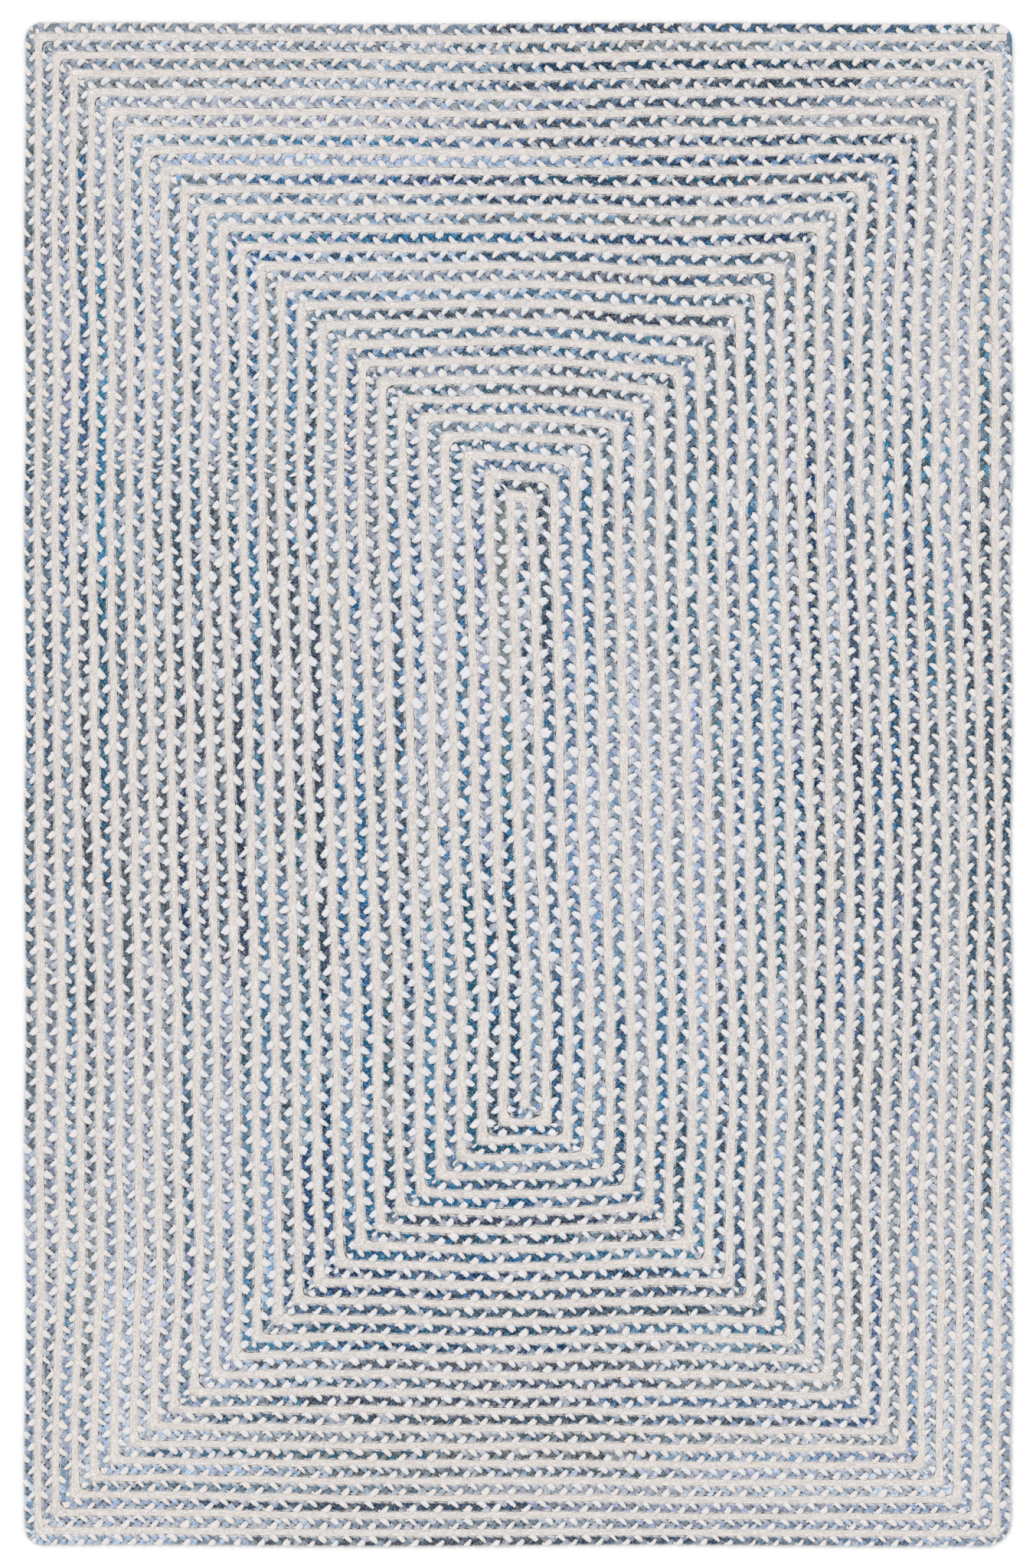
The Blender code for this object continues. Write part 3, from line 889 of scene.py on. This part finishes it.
TAPE_HEIGHT = 0.0077
TAPE_HALF_WIDTH = 0.0061
TAPE_BORDER = 1.09  # how far it reaches over the seams, as a part of its half width
BORDER_SPREAD = 0.12  # how much more or less than that it reaches, as a part of it
INNER_WANDER = 0.023  # over how many metres each border, and then both of them, come and go
OUTER_WANDER = 0.019
WIDTH_WANDER = 0.15
WIDTH_SHARE = 0.6  # how much they come and go together, to 1 for each alone
BEND_REACH = 0.0065  # at a bend, the tape swells this far along
BEND_SWELL = 0.30  # by this part of its half width
BEND_TILT = 0.07  # and is higher on one side of the fold, by this part of its height
TONGUE_PLACE = 0.0075  # where it is folded over itself, past some bends
TONGUE_SWELL = 0.70  # how far the fold reaches over the plait outside it, and how high it lies
TONGUE_RISE = 0.14
TONGUE_ODDS = 0.3  # higher for more and bigger folds
HEIGHT_SPREAD = 0.03  # how much lower and higher it lies, over so many metres
HEIGHT_WANDER = 0.07
TAPE_LOWEST = 0.0002  # how near it comes to the floor
END_ROUND = 0.005  # over which its two ends are rounded
TAPE_STEP = 0.0098  # between its rings, which lie closer together at its bends and its ends
STEP_CLEAR = 0.012
BEND_RINGS = (-0.0075, -0.0045, -0.0015, 0.0015, 0.0045, 0.0075, 0.0105)
END_RINGS = (0.0, 0.0006, 0.002, 0.0045)
TAPE_ROWS = 72
TAPE_AROUND = np.cumsum([0, 0.0058, 0.0028, 0.0049, 0.0049, 0.0028, 0.0058, 0.0126])
IVORY = screen(230, 224, 220)
IVORY_SHADE = screen(211, 205, 201)
BLUE_LINT = screen(150, 160, 172)
BLUE_LINT_SHARE = 0.32
TAPE_LINT_REACH = 0.0014
TAPE_SPECK = 0.0014
TAPE_SECTION = (
    SectionPoint(0.92, 0.03),
    SectionPoint(1.00, 0.92),
    SectionPoint(0.72, 0.99),
    SectionPoint(0.00, 0.91),
    SectionPoint(-0.72, 0.99),
    SectionPoint(-1.00, 0.92),
    SectionPoint(-0.92, 0.03),
)


def tape_edge(edge):
    """The corners of one edge of the tape, from its start inside the plait's first turn to its end."""
    start = [column_x("left", "bottom", edge), out_from_spine("bottom", -0.5 - PLAIT_EDGE)]
    end = [RUG_WIDTH / 2 - PLAIT_TAIL, out_from_spine("top", LAST_BEND // 4 + edge)]
    return np.vstack([start, bends(0, edge, np.arange(1, LAST_BEND + 1)), end])


inner_edge, outer_edge = tape_edge(-TAPE_EDGE), tape_edge(TAPE_EDGE)
tape = laid_course(inner_edge, outer_edge, inside_radii[:LAST_BEND], outside_radii[:LAST_BEND])

# Where its rings lie along it.
at_bends = (tape.corners[:, None] + np.array(BEND_RINGS)).ravel()
at_start = np.array(END_RINGS)
even = np.arange(STEP_CLEAR, tape.along[-1] - STEP_CLEAR, TAPE_STEP)
even = even[np.abs(even[:, None] - tape.corners).min(1) > STEP_CLEAR]
along = np.sort(np.concatenate([at_bends, at_start, tape.along[-1] - at_start, even]))
from_end = np.minimum(along, tape.along[-1] - along)
full = np.sqrt(1 - (1 - np.clip(from_end / END_ROUND, 0.03, 1)) ** 2)[:, None]
past_bends = along[:, None] - tape.corners
nearest = np.abs(past_bends).argmin(1)
past_bend = past_bends[np.arange(len(along)), nearest]
at_bend = np.exp(-((past_bend / BEND_REACH) ** 2))
fold = default_rng(12).uniform(-1, 1, len(tape.corners))[nearest]
tongue = np.exp(-(((past_bend - TONGUE_PLACE) / BEND_REACH) ** 2)) * np.clip(fold + TONGUE_ODDS, 0, 1)

# How far each point of the section reaches to its side: its border comes and goes, swells at a bend, and
# on the outer side swells again where the tape is folded over itself.
section_across, section_height = np.array(TAPE_SECTION).T
side_of_tape = np.sign(section_across)
inner, outer = wander(9, along, INNER_WANDER), wander(7, along, OUTER_WANDER)
border = np.where(side_of_tape > 0, outer[:, None], inner[:, None])
border = border + WIDTH_SHARE * wander(8, along, WIDTH_WANDER)[:, None]
border = TAPE_BORDER * (1 + BORDER_SPREAD * border * np.abs(side_of_tape))
border = border + BEND_SWELL * at_bend[:, None] * np.abs(side_of_tape)
border = border + TONGUE_SWELL * tongue[:, None] * (side_of_tape > 0)
across = section_across * border * full
lifted = 1 + HEIGHT_SPREAD * wander(6, along, HEIGHT_WANDER) - HEIGHT_SPREAD
lifted = lifted + BEND_TILT * fold * at_bend * np.sign(past_bend) + TONGUE_RISE * tongue
height = np.clip(TAPE_HEIGHT * section_height * lifted[:, None], TAPE_LOWEST, PLAIT_HEIGHT)
band = laid_band(tape, along, across, height)

ivory_cotton, tree, shader, along_map, course_map = new_cloth("ivory_cotton", 0.9)
grain = place(tree, fuzz, {"Place": along_map, "Speck": TAPE_SPECK, "Seed": 5.0})
streaks = streaked(tree, along_map, (30, 700), 2.0)
color = blended(tree, grain["Blotches"], IVORY_SHADE, IVORY)
color = toned(tree, color, grain["Specks"], 0.64, 1.32)
color = lit(tree, color, ranged(tree, streaks, 0.3, 0.7, 0.86, 1.10, "LINEAR"))
lint = on_seam(tree, along_map, course_map, TAPE_HALF_WIDTH, TAPE_LINT_REACH, TAPE_BORDER)
color = blended(tree, maths(tree, "MULTIPLY", lint, BLUE_LINT_SHARE), color, BLUE_LINT)
finish_cloth(tree, shader, color, maths(tree, "ADD", grain["Specks"], streaks), 0.5, 0.0005)
ivory_band = cloth_tube("ivory_band", band, TAPE_AROUND, TAPE_ROWS, {}, ivory_cotton)
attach(ivory_band, "root")
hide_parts("ivory_tape")


# ------------------------------ the floor and the light
# A plain white studio floor, under one broad soft light from the upper left and an even white room,
# which leave hardly any shadow beside the rug. The light is far off, so that it falls evenly.

FLOOR_HALF = 30
FLOOR_HEIGHT = -0.0002  # a hair below the rug's underside
ROOM_LIGHT = 0.84
SUN_LIGHT = 0.95
SUN_WIDTH = 40  # degrees
SUN_TILT = -20  # degrees about X and about Y

floor_mesh = bpy.data.meshes.new("floor")
around_floor = ((-1, -1), (1, -1), (1, 1), (-1, 1))
floor_corners = [(x * FLOOR_HALF, y * FLOOR_HALF, FLOOR_HEIGHT) for x, y in around_floor]
floor_mesh.from_pydata(floor_corners, [], [(0, 1, 2, 3)])
floor = put("floor", floor_mesh)
paint = bpy.data.materials.new("floor_paint")
paint.use_nodes = True
painted = paint.node_tree.nodes["Principled BSDF"].inputs
painted["Base Color"].default_value = (0.96, 0.96, 0.96, 1)
painted["Roughness"].default_value = 0.9
floor_mesh.materials.append(paint)

room = bpy.data.worlds.new("white_room")
room.use_nodes = True
tree = room.node_tree
background = tree.nodes["Background"].inputs
background["Color"].default_value = (1.0, 1.0, 1.0, 1)
seen = add(tree, "LightPath").outputs["Is Camera Ray"]  # the far wall looks as white as the floor
tree.links.new(ranged(tree, seen, 0, 1, ROOM_LIGHT, 1.0, "LINEAR"), background["Strength"])
bpy.context.scene.world = room
softbox = bpy.data.lights.new("softbox", "SUN")
softbox.energy = SUN_LIGHT
softbox.angle = math.radians(SUN_WIDTH)
softbox_stand = put("softbox", softbox)
softbox_stand.rotation_euler = (math.radians(SUN_TILT), math.radians(SUN_TILT), 0)
bpy.context.scene.view_settings.view_transform = "Standard"
